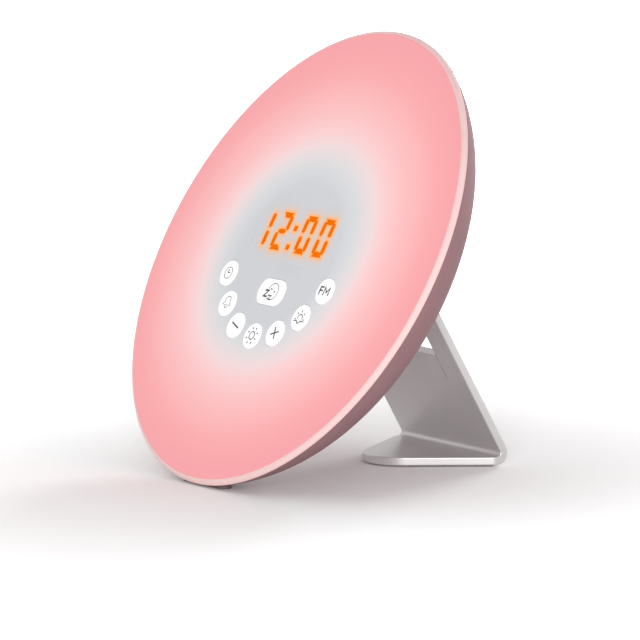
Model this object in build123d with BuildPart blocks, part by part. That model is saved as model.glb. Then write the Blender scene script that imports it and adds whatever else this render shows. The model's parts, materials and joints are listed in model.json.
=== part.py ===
from build123d import *
import os
from math import acos, cos, degrees, radians, sin, sqrt, tan

# Sunrise alarm clock: a round, slightly domed light on a bent-plate stand.
# Millimetres and degrees, +Z up. The face looks along -Y and leans back; X runs to the right
# as the user sees it. The origin is on the floor, under the middle of the whole object.
#
# The lamp is drawn on its own tilted plane: local x to the right, local y up the face, local z
# out of the face. Depths are measured back from the rim of the face, so they are -z.

# ---------------------------------------------------------------- driving dimensions

# lamp outline
lamp_radius = 94.0        # outside of the trim ring
lean_back = 29.7          # tilt of the face from upright
rim_clearance = 0.7       # lowest point of the rim above the floor

# milky face
face_crown = 2.0          # rise of the dome over its edge
face_wall = 2.0
face_lip = 1.2            # thickness of the face's thinned edge
face_lip_width = 2.3
face_gap = 0.1            # play between the face and its ring

# trim ring
ring_width = 1.7          # seen from the front
ring_depth = 2.2          # seen from the side
ring_groove = 0.3         # bevel that makes the shadow line against the housing
shelf_width = 4.8         # shelf that carries the face
shelf_depth = 4.0         # depth of the shelf's back

# rear housing: a bowl of two arcs that meet in a flat back
housing_wall = 2.2
rim_arc = 44.5            # radius of the side wall's curve
rim_slope = 63.1          # wall's outward normal from the lamp's axis, at the rim
shoulder_slope = 35.0     # the same where the two arcs meet
back_arc = 55.0
wall_gap = 0.3            # clearance of inner parts from the wall

# stand
sheet = 3.2               # plate thickness
bend_inside = 1.5
stand_width = 69.0
stand_lean = 28.7         # plate leans forward from upright
stand_joint = 11.9        # height up the lamp's back where the plate turns into its flange
window_width = 44.0
window_bottom = 50.3      # up the plate, from its sharp heel corner
window_bar = 5.0          # plate left over the window, up to the bend
window_round = 1.0
slit_width = 0.5          # slits that free the plate's middle tab
slit_length = 10.5
foot_reach = 43.3         # heel corner to the tip of the tongue
nose_radius = 17.0
foot_corner = 3.0
plate_edge = 0.5          # rounding of the plate's edges
pad_thick = 0.6           # silicone sheet under the foot
pad_inset = 3.0

# stand's socket on the back
socket_low = 14.5         # open mouth of the socket, up the lamp's back
flange_top = 36.0         # end of the flange, where the socket stops it
socket_wall = 6.8         # side walls, wide enough for screws
socket_roof = 3.0         # wall beyond the stop
socket_cover = 2.4
slide_gap = 0.2
spring_length = 30.0
spring_width = 8.0
spring_sheet = 0.4
spring_rise = 0.8
spring_play = 0.5         # recess beyond the leaf, on each side
spring_recess = 1.3

# rubber feet under the rim
foot_length = 12.0
foot_width = 5.5
foot_offset = 8.5
foot_setback = 7.5        # middle of the feet, behind the face's rim plane
foot_peg = 1.5
foot_block = 3.0          # height of the rubber before the rim's curve is cut from it

# keys
key_radius = 5.3
key_gap = 0.2
key_proud = 0.35
key_travel = 0.6
key_ring_inset = 9.2      # middles of the keys inside the light baffle
key_ring_height = 2.35
key_step = 22.2           # degrees between keys
key_round = 0.4
flange_gap = 0.65         # between the flanges of neighbouring keys
flange_thick = 1.0
well_wall = 1.35          # ring round each hole, behind the face
well_depth = 1.6
snooze_width = 17.6
snooze_length = 10.6
snooze_corner = 4.8
snooze_height = -16.6
stem_radius = 1.6
stem_sunk = 1.1           # stem's tip below the top of its switch

# display
display_middle = -2.45
display_height = 7.65
digit_width = 6.8
digit_length = 15.2
digit_pitch = 12.2
colon_space = 4.8
stroke = 1.85             # width of a stroke with its glow
stroke_core = 1.2         # width of its lit slot
stroke_gap = 0.25         # between neighbouring slots
module_margin = 0.6       # digits inside the gasket
module_sunk = 3.0         # front of the module, behind the face's rim
segment_thick = 0.3
gasket_frame = 1.8
gasket_thick = 2.3

# key board, behind the middle of the face
board_thick = 1.6
switch_side = 6.0
switch_rise = 3.5
switch_gap = 0.3

# light chamber
baffle_share = 0.4915     # light baffle's radius, of the lamp's
baffle_wall = 2.0
baffle_gap = 0.15         # tube's end to the back of the face
ledge_width = 6.7
ledge_thick = 2.4         # ledge that the key board sits on
baffle_flange = 3.0
reflector_wall = 1.5
reflector_gap = 0.8       # baffle to the reflector's hole
reflector_share = 0.7468  # foot of the reflector's slope, of the lamp's radius
led_count = 24
led_side = 5.0
led_rise = 1.6
led_board_gaps = (3.0, 5.7)    # light board from the reflector's hole and from its foot
led_screw_inset = 2.7

# fixings
chassis_angle = 45.0      # first post
chassis_post = 4.0
chassis_gap = 2.0         # post to the side wall
chassis_boss = 3.5        # reflector's bosses, which meet the housing's posts
chassis_seat = 3.0        # post under the screw head
large_screw = 1.5         # M3
large_head = 2.8
small_screw = 1.25        # M2.5
small_head = 2.2
head_rise = 1.5
cross_width = 0.6         # cross recess of the screws that show
cross_length = 2.4
hole_gap = 0.2

# main board
board_stand = 7.25        # front of the board over the housing's floor
board_room = 2.5          # between it and the reflector
main_half = 42.0
main_top = 32.0
main_bottom = -24.0
board_post = 3.0
outer_post = (38.0, 27.0)
inner_post = (18.0, 3.5)
chip_rise = 1.4
chips = [((-13.5, 13.0), 12.0, 12.0),   # place, width, length
         ((12.0, 13.0), 8.4, 8.4),
         ((27.6, 2.8), 8.4, 6.0)]
capacitor_radius = 3.0
capacitor_rise = 2.6
capacitor_pitch = 7.5

# loudspeaker, facing back
speaker_gap = 2.5         # magnet to the light baffle's ledge
speaker_side = 40.0
speaker_corner = 3.0
speaker_seat = 2.0        # height of the ring that the gasket sits on
seat_width = 2.0
gasket_sheet = 0.6
speaker_plate = 1.2
speaker_screw = 17.0      # corner holes from the middle
board_clearance = 2.0     # main board to the loudspeaker
basket_wall = 1.0
cone_radius = 14.5
cone_depth = 4.0
cone_wall = 0.6
cone_sunk = 0.6           # cone's edge below the face of its plate
cone_stroke = 0.5
surround_width = 2.6
surround_wall = 0.4
surround_lap = 0.8        # surround glued over the cone's edge
surround_roll = 0.9
magnet_radius = 10.0
magnet_depth = 3.4
magnet_cap = 1.0          # closed end of the magnet's pot
magnet_gap = 0.4          # round the coil
coil_radius = 5.0
grille_hole = 1.1
grille_pitch = 4.5
grille_rings = 3

# clock battery
cell_place = (33.0, -10.0)
cell_radius = 10.0
cell_thick = 3.2
cap_radius = 13.0
cap_lip = 1.2
neck_radius = 11.3
neck_gap = 0.08           # running fit of the cap
lug_reach = 1.5
lug_angle = 24.0
lug_thick = 0.9
cap_turn = 60.0
coin_slot = (18.0, 1.8)
contact_sheet = 0.3
contact_width = 4.0
holder_wall = 1.2
holder_gap = 0.6

# sockets and small controls at the back
jack_place = (-34.0, -6.0)
jack_nose = 4.6
jack_bore = 2.75
jack_pin = 1.0
jack_body = 9.2
jack_end = 1.0            # closed end of the jack's bore
grommet_place = (0.0, 3.0)
grommet_radius = 3.0
grommet_flange = 1.0
aerial_bore = 0.9
reset_place = (-33.0, -19.5)
reset_radius = 2.4
reset_travel = 0.5
reset_sunk = 0.6
reset_flange = 1.0
reset_stem = 0.9
vent_count = 7
vent_pitch = 6.0
vent_length = 12.0
vent_width = 2.0
vent_height = 62.0

# leads between the boards
connector = (14.0, 4.0, 1.6)   # width, length, height
ribbon_thick = 0.3
ribbon_width = 12.0
ribbon_inset = 2.5        # connector on the key board, inside the ledge
ribbon_step = 11.6        # connector on the main board, further down
ribbon_curl = 0.3         # bends of the ribbon, of the drop between its connectors
ribbon_end_run = 0.6
lead_radius = 0.6
lead_curl = 0.4           # bends of the leads, of the room before the main board
lead_inset = 3.0          # lead's ends from the edges of its boards
lead_side = 10.0
lead_rise = 2.0           # loudspeaker's lead over the main board
tab_inset = 1.5           # solder tabs from the edge of the loudspeaker's plate

# ---------------------------------------------------------------- places worked out from them

tilt = radians(lean_back)
plate_tilt = radians(stand_lean)
right = Vector(1, 0, 0)

rim_centre = (lamp_radius - rim_arc * sin(radians(rim_slope)),
              rim_arc * cos(radians(rim_slope)) - ring_depth)
arc_step = rim_arc - back_arc
back_centre = (rim_centre[0] + arc_step * sin(radians(shoulder_slope)),
               rim_centre[1] - arc_step * cos(radians(shoulder_slope)))
back_depth = back_arc - back_centre[1]
floor_depth = back_depth - housing_wall

# lowest point of the side wall, seen along the lean
low_slope = radians(min(rim_slope, 90 - lean_back))
low_radius = rim_centre[0] + rim_arc * sin(low_slope)
low_depth = rim_arc * cos(low_slope) - rim_centre[1]
lamp_height = low_radius * cos(tilt) + low_depth * sin(tilt) + rim_clearance

# heel of the stand: the plate's rear face followed from the flange down to the foot's underside
flange_front = back_depth + slide_gap
flange_rear = flange_front + sheet
bend_y = stand_joint * sin(tilt) + flange_rear * cos(tilt)
bend_z = lamp_height + stand_joint * cos(tilt) - flange_rear * sin(tilt)
heel_y = bend_y + (bend_z - pad_thick) * tan(plate_tilt)
heel_run = (bend_inside + sheet) / tan(radians(90 - stand_lean) / 2)
flat_y = heel_y - heel_run
tip_y = heel_y - foot_reach
plate_length = (bend_z - pad_thick) / cos(plate_tilt)

# front and back of the whole object, so that the origin lies midway
front_y = -((lamp_radius - ring_width) * sin(tilt) - ring_width * cos(tilt) + ring_width)
rear_y = flat_y + bend_inside + sheet
lamp_y = -(front_y + rear_y) / 2

lamp = Plane(origin=(0, lamp_y, lamp_height), x_dir=right, z_dir=(0, -cos(tilt), sin(tilt)))
meridian = Plane(origin=lamp.origin, x_dir=right, z_dir=-lamp.y_dir)   # (radius, height) sections
profile = Plane(origin=lamp.origin, x_dir=lamp.y_dir, z_dir=right)     # (up the face, height) sections
upright = Plane(origin=(0, lamp_y, 0), x_dir=(0, 1, 0), z_dir=right)   # (back, up) sections of the stand
lamp_axis = Axis(lamp.origin, lamp.z_dir)

face_radius = lamp_radius - ring_width
shelf_inner = face_radius - shelf_width
dome = (face_radius ** 2 + face_crown ** 2) / (2 * face_crown)
key_names = ["clock_key", "alarm_key", "minus_key", "brightness_key", "plus_key", "sunrise_key",
             "radio_key"]
baffle_radius = lamp_radius * baffle_share
ledge_inner = baffle_radius - baffle_wall - ledge_width
key_ring_radius = baffle_radius - key_ring_inset
key_flange = key_ring_radius * sin(radians(key_step / 2)) - key_radius - flange_gap / 2
straight_down = -90
first_key = straight_down - key_step * (len(key_names) - 1) / 2
key_places = [(key_ring_radius * cos(radians(first_key + key_step * i)),
               key_ring_radius * sin(radians(first_key + key_step * i)) + key_ring_height)
              for i in range(len(key_names))]
snooze_place = (0, snooze_height)
switch_places = key_places + [snooze_place]
main_depth = floor_depth - board_stand
reflector_back = main_depth - board_room
chamber_depth = reflector_back - reflector_wall
key_board_depth = chamber_depth - ledge_thick - board_thick
switch_top = key_board_depth - switch_rise
stem_tip = switch_top + stem_sunk
module_length = 3 * digit_pitch + colon_space + digit_width + 2 * (gasket_frame + module_margin)
module_width = digit_length + 2 * (gasket_frame + module_margin)
speaker_height = magnet_radius + speaker_gap - ledge_inner
speaker_front = floor_depth - speaker_seat - gasket_sheet     # rear face of the loudspeaker's plate
speaker_bore = cone_radius + surround_width
speaker_corners = [(sx * speaker_screw, sy * speaker_screw) for sx in (-1, 1) for sy in (-1, 1)]
cap_inner = floor_depth - neck_gap - lug_thick                # inner end of the battery cap
cell_bottom = cap_inner - neck_gap
cell_top = cell_bottom - cell_thick                           # board side of the clock battery
board_back = main_depth + board_thick
key_board_back = key_board_depth + board_thick
socket_end = flange_top + slide_gap

# reflector, light board and chassis posts, from the baffle out to the side wall
reflector_inner = baffle_radius + reflector_gap
reflector_foot = lamp_radius * reflector_share
led_board_inner = reflector_inner + led_board_gaps[0]
led_board_outer = reflector_foot - led_board_gaps[1]
led_ring_radius = (led_board_inner + led_board_outer) / 2
led_screw_radius = led_board_outer - led_screw_inset
lead_hole = led_board_inner + lead_inset
lead_bend = lead_curl * board_room
chassis_joint = reflector_back + chassis_boss

# the loudspeaker's own plane, sections and axis
speaker = Plane(origin=lamp.from_local_coords((0, speaker_height, 0)), x_dir=right, z_dir=lamp.z_dir)
speaker_meridian = Plane(origin=speaker.origin, x_dir=right, z_dir=-lamp.y_dir)
speaker_axis = Axis(speaker.origin, lamp.z_dir)


def dome_height(radius):
    """Height of the milky face over its rim, at a radius."""
    return sqrt(dome ** 2 - radius ** 2) - (dome - face_crown)


def wall_radius(depth, inset):
    """Radius of the side wall at a depth, measured in by inset from the outer skin."""
    return rim_centre[0] + sqrt((rim_arc - inset) ** 2 - (rim_centre[1] + depth) ** 2)


chassis_radius = wall_radius(chassis_joint, housing_wall) - chassis_post - chassis_gap


def bowl(inset):
    """Half section of the housing's bowl, filled, drawn in by inset from the outer skin."""
    side, back = rim_arc - inset, back_arc - inset
    top_slope = degrees(acos((rim_centre[1] + ring_depth) / side))
    with BuildSketch(meridian) as section:
        with BuildLine():
            wall = CenterArc(rim_centre, side, top_slope - 90, shoulder_slope - top_slope)
            base = CenterArc(back_centre, back, shoulder_slope - 90, -shoulder_slope)
            Polyline(base @ 1, (0, (base @ 1).Y), (0, -ring_depth), wall @ 0)
        make_face()
    return section.sketch


def key_outline(place, grow):
    """Draw the outline of the key at a place, grown all round; the snooze key is the wide one."""
    with Locations(place):
        if place == snooze_place:
            RectangleRounded(snooze_width + 2 * grow, snooze_length + 2 * grow, snooze_corner + grow)
        else:
            Circle(key_radius + grow)


def keep(piece, name):
    """Label a finished piece and write it to its own file."""
    piece.label = name
    export_step(piece, f"parts/{name}.step")


os.makedirs("parts", exist_ok=True)

# ---------------------------------------------------------------- milky face and trim ring

lip_radius = face_radius - face_gap
land_radius = lip_radius - face_lip_width
with BuildPart() as front_diffuser:
    with BuildSketch(meridian):
        with BuildLine():
            top = ThreePointArc((0, face_crown), (lip_radius / 2, dome_height(lip_radius / 2)),
                                (lip_radius, dome_height(lip_radius)))
            under = ThreePointArc((0, face_crown - face_wall),
                                  (shelf_inner / 2, dome_height(shelf_inner / 2) - face_wall),
                                  (shelf_inner, dome_height(shelf_inner) - face_wall))
            Polyline(top @ 1, (lip_radius, -face_lip), (land_radius, -face_lip), (land_radius, -face_wall),
                     (shelf_inner, -face_wall), under @ 1)
            Line(top @ 0, under @ 0)
        make_face()
    revolve(axis=lamp_axis)
    # a ring behind every key hole, whose end stops the key's flange
    with BuildSketch(lamp.offset(-well_depth)):
        for place in switch_places:
            key_outline(place, key_gap + well_wall)
    extrude(amount=well_depth + face_crown - face_wall / 2)
    with BuildSketch(lamp.offset(-well_depth)):
        for place in switch_places:
            key_outline(place, key_gap)
    extrude(amount=well_depth + 2 * face_crown, mode=Mode.SUBTRACT)
keep(front_diffuser.part, "front_diffuser")

shelf_outer = wall_radius(shelf_depth, housing_wall) - wall_gap
with BuildPart() as trim_ring:
    with BuildSketch(meridian):
        with BuildLine():
            edge = CenterArc((face_radius, -ring_width), ring_width, 0, 90)
            Polyline(edge @ 0, (lamp_radius, ring_groove - ring_depth),
                     (lamp_radius - ring_groove, -ring_depth), (shelf_outer, -ring_depth),
                     (shelf_outer, -shelf_depth), (shelf_inner, -shelf_depth),
                     (shelf_inner, -face_wall), (land_radius + face_gap, -face_wall),
                     (land_radius + face_gap, -face_lip), (face_radius, -face_lip), edge @ 1)
        make_face()
    revolve(axis=lamp_axis)
keep(trim_ring.part, "trim_ring")

# ---------------------------------------------------------------- keys

for name, place in zip(key_names + ["snooze_key"], switch_places):
    key_top = dome_height(sqrt(place[0] ** 2 + place[1] ** 2)) + key_proud
    with BuildPart() as key:
        with BuildSketch(lamp.offset(-well_depth - flange_thick)):
            key_outline(place, key_flange)
        extrude(amount=flange_thick)
        with BuildSketch(lamp.offset(-well_depth)):
            key_outline(place, 0)
        extrude(amount=well_depth + key_top)
        fillet(key.faces().sort_by(lamp_axis)[-1].edges(), key_round)
        with BuildSketch(lamp.offset(-stem_tip)):
            with Locations(place):
                Circle(stem_radius)
        extrude(amount=stem_tip - well_depth - flange_thick)
    keep(key.part, name)

with BuildPart() as key_switches:
    with BuildSketch(lamp.offset(-key_board_depth)):
        with Locations(*switch_places):
            Rectangle(switch_side, switch_side)
    extrude(amount=switch_rise)
    with BuildSketch(lamp.offset(-stem_tip - key_travel - switch_gap)):
        with Locations(*switch_places):
            Circle(stem_radius + switch_gap)
    extrude(amount=switch_rise, mode=Mode.SUBTRACT)
keep(key_switches.part, "key_switches")

# ---------------------------------------------------------------- display

with BuildPart() as display_module:
    with BuildSketch(lamp.offset(-key_board_depth)):
        with Locations((display_middle, display_height)):
            Rectangle(module_length, module_width)
    extrude(amount=key_board_depth - module_sunk)
keep(display_module.part, "display_module")

with BuildPart() as display_gasket:
    with BuildSketch(lamp.offset(-module_sunk)):
        with Locations((display_middle, display_height)):
            Rectangle(module_length, module_width)
            Rectangle(module_length - 2 * gasket_frame, module_width - 2 * gasket_frame, mode=Mode.SUBTRACT)
    extrude(amount=gasket_thick)
keep(display_gasket.part, "display_gasket")

# seven strokes of a digit, each as (across, up, is it level), in shares of half a digit's width and height
strokes = {"top": (0, 1, True), "middle": (0, 0, True), "bottom": (0, -1, True),
           "upper_left": (-1, 0.5, False), "upper_right": (1, 0.5, False),
           "lower_left": (-1, -0.5, False), "lower_right": (1, -0.5, False)}
one = ["upper_right", "lower_right"]
two = ["top", "upper_right", "middle", "lower_left", "bottom"]
zero = [stroke_name for stroke_name in strokes if stroke_name != "middle"]
half_width = (digit_width - stroke) / 2
half_length = (digit_length - stroke) / 2
digit_steps = (-1.5 * digit_pitch - colon_space / 2, -0.5 * digit_pitch - colon_space / 2,
               0.5 * digit_pitch + colon_space / 2, 1.5 * digit_pitch + colon_space / 2)
with BuildPart() as display_segments:
    with BuildSketch(lamp.offset(-module_sunk)):
        for step, digit in zip(digit_steps, (one, two, zero, zero)):
            for stroke_name in digit:
                across, up, level = strokes[stroke_name]
                spot = (display_middle + step + across * half_width, display_height + up * half_length)
                reach = 2 * half_width if level else half_length
                with Locations(Location((spot[0], spot[1], 0), (0, 0, 0 if level else 90))):
                    SlotOverall(reach - stroke_core - stroke_gap, stroke_core)
        with Locations((display_middle, display_height + half_length / 3),
                       (display_middle, display_height - half_length / 3)):
            Circle(stroke / 2)
    extrude(amount=segment_thick)
keep(display_segments.part, "display_segments")

# ---------------------------------------------------------------- key board in its light baffle

screw_start = straight_down + key_step / 2
key_screw_radius = ledge_inner + ledge_width / 2
baffle_top = face_wall - dome_height(baffle_radius) + baffle_gap
with BuildPart() as light_baffle:
    with BuildSketch(meridian):
        with BuildLine():
            Polyline((baffle_radius - baffle_wall, -baffle_top), (baffle_radius, -baffle_top),
                     (baffle_radius, baffle_wall - chamber_depth),
                     (baffle_radius + baffle_flange, baffle_wall - chamber_depth),
                     (baffle_radius + baffle_flange, -chamber_depth), (ledge_inner, -chamber_depth),
                     (ledge_inner, -key_board_back), (baffle_radius - baffle_wall, -key_board_back),
                     close=True)
        make_face()
    revolve(axis=lamp_axis)
    with BuildSketch(lamp.offset(-chamber_depth)):
        with PolarLocations(key_screw_radius, 4, screw_start):
            Circle(small_screw)
    extrude(amount=ledge_thick + board_thick, mode=Mode.SUBTRACT)
keep(light_baffle.part, "light_baffle")

with BuildPart() as key_board:
    with BuildSketch(lamp.offset(-key_board_back)):
        Circle(baffle_radius - baffle_wall - wall_gap)
        with PolarLocations(key_screw_radius, 4, screw_start):
            Circle(small_screw, mode=Mode.SUBTRACT)
    extrude(amount=board_thick)
keep(key_board.part, "key_board")

with BuildPart() as key_board_screws:
    with BuildSketch(lamp.offset(-chamber_depth)):
        with PolarLocations(key_screw_radius, 4, screw_start):
            Circle(small_screw)
    extrude(amount=chamber_depth - key_board_depth)
    with BuildSketch(lamp.offset(-key_board_depth)):
        with PolarLocations(key_screw_radius, 4, screw_start):
            Circle(small_head)
    extrude(amount=head_rise)
keep(key_board_screws.part, "key_board_screws")

# ---------------------------------------------------------------- reflector and lights

reflector_rim = wall_radius(shelf_depth + reflector_wall, housing_wall) - wall_gap
led_screw_start = 180 / led_count
with BuildPart() as reflector_dish:
    with BuildSketch(meridian):
        with BuildLine():
            Polyline((shelf_inner, -shelf_depth), (reflector_rim, -shelf_depth),
                     (reflector_rim, -shelf_depth - reflector_wall),
                     (shelf_inner - reflector_wall / 2, -shelf_depth - reflector_wall),
                     (reflector_foot - reflector_wall / 2, -reflector_back),
                     (reflector_inner, -reflector_back), (reflector_inner, -chamber_depth),
                     (reflector_foot, -chamber_depth), close=True)
        make_face()
    revolve(axis=lamp_axis)
    with BuildSketch(lamp.offset(-chassis_joint)):
        with PolarLocations(chassis_radius, 4, chassis_angle):
            Circle(chassis_post)
    extrude(amount=chassis_joint - chamber_depth - reflector_wall / 2)
    with BuildSketch(lamp.offset(-chassis_joint)):
        with PolarLocations(chassis_radius, 4, chassis_angle):
            Circle(large_screw)
    extrude(amount=chassis_joint - reflector_back, mode=Mode.SUBTRACT)
    # pilot holes for the light board, and the hole for its lead
    with BuildSketch(lamp.offset(-reflector_back)):
        with PolarLocations(led_screw_radius, 4, led_screw_start):
            Circle(small_screw)
        with Locations((0, lead_hole)):
            Circle(lead_radius + hole_gap)
    extrude(amount=reflector_wall, mode=Mode.SUBTRACT)
keep(reflector_dish.part, "reflector_dish")

led_face = chamber_depth - board_thick
with BuildPart() as led_board:
    with BuildSketch(lamp.offset(-chamber_depth)):
        Circle(led_board_outer)
        Circle(led_board_inner, mode=Mode.SUBTRACT)
        with PolarLocations(led_screw_radius, 4, led_screw_start):
            Circle(small_screw, mode=Mode.SUBTRACT)
    extrude(amount=board_thick)
keep(led_board.part, "led_board")

with BuildPart() as led_packages:
    with BuildSketch(lamp.offset(-led_face)):
        with PolarLocations(led_ring_radius, led_count):
            Rectangle(led_side, led_side)
    extrude(amount=led_rise)
keep(led_packages.part, "led_packages")

with BuildPart() as led_board_screws:
    with BuildSketch(lamp.offset(-reflector_back)):
        with PolarLocations(led_screw_radius, 4, led_screw_start):
            Circle(small_screw)
    extrude(amount=reflector_back - led_face)
    with BuildSketch(lamp.offset(-led_face)):
        with PolarLocations(led_screw_radius, 4, led_screw_start):
            Circle(small_head)
    extrude(amount=head_rise)
keep(led_board_screws.part, "led_board_screws")

# ---------------------------------------------------------------- rear housing

post_places = [(sx * x, y) for x, y in (outer_post, inner_post) for sx in (-1, 1)]
with BuildPart() as posts:
    with BuildSketch(lamp.offset(-chassis_joint)):
        with PolarLocations(chassis_radius, 4, chassis_angle):
            Circle(chassis_post)
    extrude(amount=-back_depth)
    with BuildSketch(lamp.offset(-board_back)):
        with Locations(*post_places):
            Circle(board_post)
    extrude(amount=-back_depth)
    with BuildSketch(speaker.offset(-speaker_front)):
        with Locations(*speaker_corners):
            Circle(small_head)
    extrude(amount=-back_depth)
    with BuildSketch(speaker.offset(speaker_seat - floor_depth)):
        Circle(speaker_bore + seat_width)
        Circle(speaker_bore, mode=Mode.SUBTRACT)
    extrude(amount=-back_depth)
    revolve(bowl(0), axis=lamp_axis, mode=Mode.INTERSECT)

frame_back = flange_rear + slide_gap
socket_top = socket_end + socket_roof
socket_span = socket_top - socket_low
socket_middle = (socket_top + socket_low) / 2
socket_half = stand_width / 2 + slide_gap + socket_wall
socket_screws_at = [(sx * (socket_half - socket_wall / 2), y)
                    for sx in (-1, 1) for y in (socket_low + socket_wall / 2, socket_top - socket_wall / 2)]
foot_y = lamp_y - low_radius * sin(tilt) + foot_setback * cos(tilt)
foot_places = [(sx * foot_offset, foot_y) for sx in (-1, 1)]
with BuildPart() as rear_housing:
    revolve(bowl(0), axis=lamp_axis)
    # raised frame of the stand's socket
    with BuildSketch(lamp.offset(-floor_depth / 2)):
        with Locations((0, socket_middle)):
            RectangleRounded(2 * socket_half, socket_span, socket_wall / 2)
    extrude(amount=floor_depth / 2 - frame_back)
    revolve(bowl(housing_wall), axis=lamp_axis, mode=Mode.SUBTRACT)
    add(posts.part)
    # pocket for the stand's flange, open downwards
    with BuildSketch(lamp.offset(-back_depth)):
        with Locations((0, (socket_end + socket_low - socket_wall) / 2)):
            Rectangle(stand_width + 2 * slide_gap, socket_end - socket_low + socket_wall)
    extrude(amount=back_depth - frame_back, mode=Mode.SUBTRACT)
    with BuildSketch(lamp.offset(-frame_back)):
        with Locations(*socket_screws_at):
            Circle(small_screw)
    extrude(amount=frame_back - back_depth, mode=Mode.SUBTRACT)
    # screw wells and holes of the chassis posts
    with BuildSketch(lamp.offset(-chassis_joint - chassis_seat)):
        with PolarLocations(chassis_radius, 4, chassis_angle):
            Circle(large_head + hole_gap)
    extrude(amount=-back_depth, mode=Mode.SUBTRACT)
    with BuildSketch(lamp.offset(-chassis_joint)):
        with PolarLocations(chassis_radius, 4, chassis_angle):
            Circle(large_screw + hole_gap)
    extrude(amount=-chassis_seat, mode=Mode.SUBTRACT)
    # pilot holes of the board and speaker posts
    with BuildSketch(lamp.offset(-board_back)):
        with Locations(*post_places):
            Circle(small_screw)
    extrude(amount=board_back - floor_depth, mode=Mode.SUBTRACT)
    with BuildSketch(speaker.offset(-speaker_front)):
        with Locations(*speaker_corners):
            Circle(small_screw)
    extrude(amount=speaker_front - floor_depth, mode=Mode.SUBTRACT)
    # clock battery's bayonet hole, with its sunk lip and two notches
    with BuildSketch(lamp.offset(-back_depth)):
        with Locations(cell_place):
            Circle(cap_radius + neck_gap)
    extrude(amount=cap_lip + neck_gap, mode=Mode.SUBTRACT)
    with BuildSketch(lamp.offset(-back_depth)):
        with Locations(cell_place):
            Circle(neck_radius + neck_gap)
            with PolarLocations(neck_radius, 2, cap_turn):
                Rectangle(2 * lug_reach + 2 * hole_gap, neck_radius * radians(lug_angle) + 4 * hole_gap)
    extrude(amount=housing_wall, mode=Mode.SUBTRACT)
    # holes of the power socket, aerial grommet, reset button, vents and speaker grille
    with BuildSketch(lamp.offset(-back_depth)):
        with Locations(jack_place):
            Circle(jack_nose + hole_gap)
        with Locations(grommet_place):
            Circle(grommet_radius)
        with Locations(reset_place):
            Circle(reset_radius + hole_gap)
        with Locations((0, vent_height)):
            with GridLocations(vent_pitch, 1, vent_count, 1):
                SlotOverall(vent_length, vent_width, rotation=90)
        with Locations((0, speaker_height)):
            Circle(grille_hole)
            for ring in range(1, grille_rings + 1):
                with PolarLocations(grille_pitch * ring, 6 * ring):
                    Circle(grille_hole)
    extrude(amount=back_depth - chassis_joint, mode=Mode.SUBTRACT)
    # peg holes of the rubber feet
    with BuildSketch(Plane.XY):
        with Locations(*foot_places):
            Circle(foot_peg)
    extrude(amount=rim_clearance + 2 * housing_wall, mode=Mode.SUBTRACT)
keep(rear_housing.part, "rear_housing")

with BuildPart() as chassis_screws:
    with BuildSketch(lamp.offset(-reflector_back)):
        with PolarLocations(chassis_radius, 4, chassis_angle):
            Circle(large_screw)
    extrude(amount=reflector_back - chassis_joint - chassis_seat)
    with BuildSketch(lamp.offset(-chassis_joint - chassis_seat)):
        with PolarLocations(chassis_radius, 4, chassis_angle):
            Circle(large_head)
    extrude(amount=-head_rise)
    with BuildSketch(lamp.offset(-chassis_joint - chassis_seat - head_rise)):
        with PolarLocations(chassis_radius, 4, chassis_angle):
            Rectangle(cross_length, cross_width)
            Rectangle(cross_width, cross_length)
    extrude(amount=head_rise / 2, mode=Mode.SUBTRACT)
keep(chassis_screws.part, "chassis_screws")

with BuildPart() as rubber_feet:
    with BuildSketch(Plane.XY):
        with Locations(*foot_places):
            SlotOverall(foot_length, foot_width)
    extrude(amount=foot_block)
    revolve(bowl(0), axis=lamp_axis, mode=Mode.SUBTRACT)
    with BuildSketch(Plane.XY.offset(rim_clearance / 2)):
        with Locations(*foot_places):
            Circle(foot_peg)
    extrude(amount=rim_clearance / 2 + housing_wall)
keep(rubber_feet.part, "rubber_feet")

# ---------------------------------------------------------------- main board and what it carries

with BuildPart() as main_board:
    with BuildSketch(lamp.offset(-board_back)):
        with Locations((0, (main_top + main_bottom) / 2)):
            Rectangle(2 * main_half, main_top - main_bottom)
        with Locations((0, speaker_height)):
            Rectangle(speaker_side + 2 * board_clearance, speaker_side + 2 * board_clearance,
                      mode=Mode.SUBTRACT)
        with Locations(*post_places):
            Circle(small_screw, mode=Mode.SUBTRACT)
    extrude(amount=board_thick)
keep(main_board.part, "main_board")

with BuildPart() as board_screws:
    with BuildSketch(lamp.offset(-floor_depth)):
        with Locations(*post_places):
            Circle(small_screw)
    extrude(amount=floor_depth - main_depth)
    with BuildSketch(lamp.offset(-main_depth)):
        with Locations(*post_places):
            Circle(small_head)
    extrude(amount=head_rise)
keep(board_screws.part, "board_screws")

with BuildPart() as board_components:
    # chips, coil and capacitors on the front
    with BuildSketch(lamp.offset(-main_depth)):
        for place, width, length in chips:
            with Locations(place):
                Rectangle(width, length)
    extrude(amount=chip_rise)
    with BuildSketch(lamp.offset(-main_depth)):
        with Locations((2 * capacitor_radius - main_half, 0)):
            with GridLocations(1, capacitor_pitch, 1, 3):
                Circle(capacitor_radius)
    extrude(amount=capacitor_rise)
    # reset switch on the back
    with BuildSketch(lamp.offset(-board_back)):
        with Locations(reset_place):
            Rectangle(switch_side, switch_side)
    extrude(amount=-switch_rise)
    with BuildSketch(lamp.offset(-board_back - switch_rise)):
        with Locations(reset_place):
            Circle(reset_stem + switch_gap)
    extrude(amount=switch_rise / 2, mode=Mode.SUBTRACT)
keep(board_components.part, "board_components")

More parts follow.
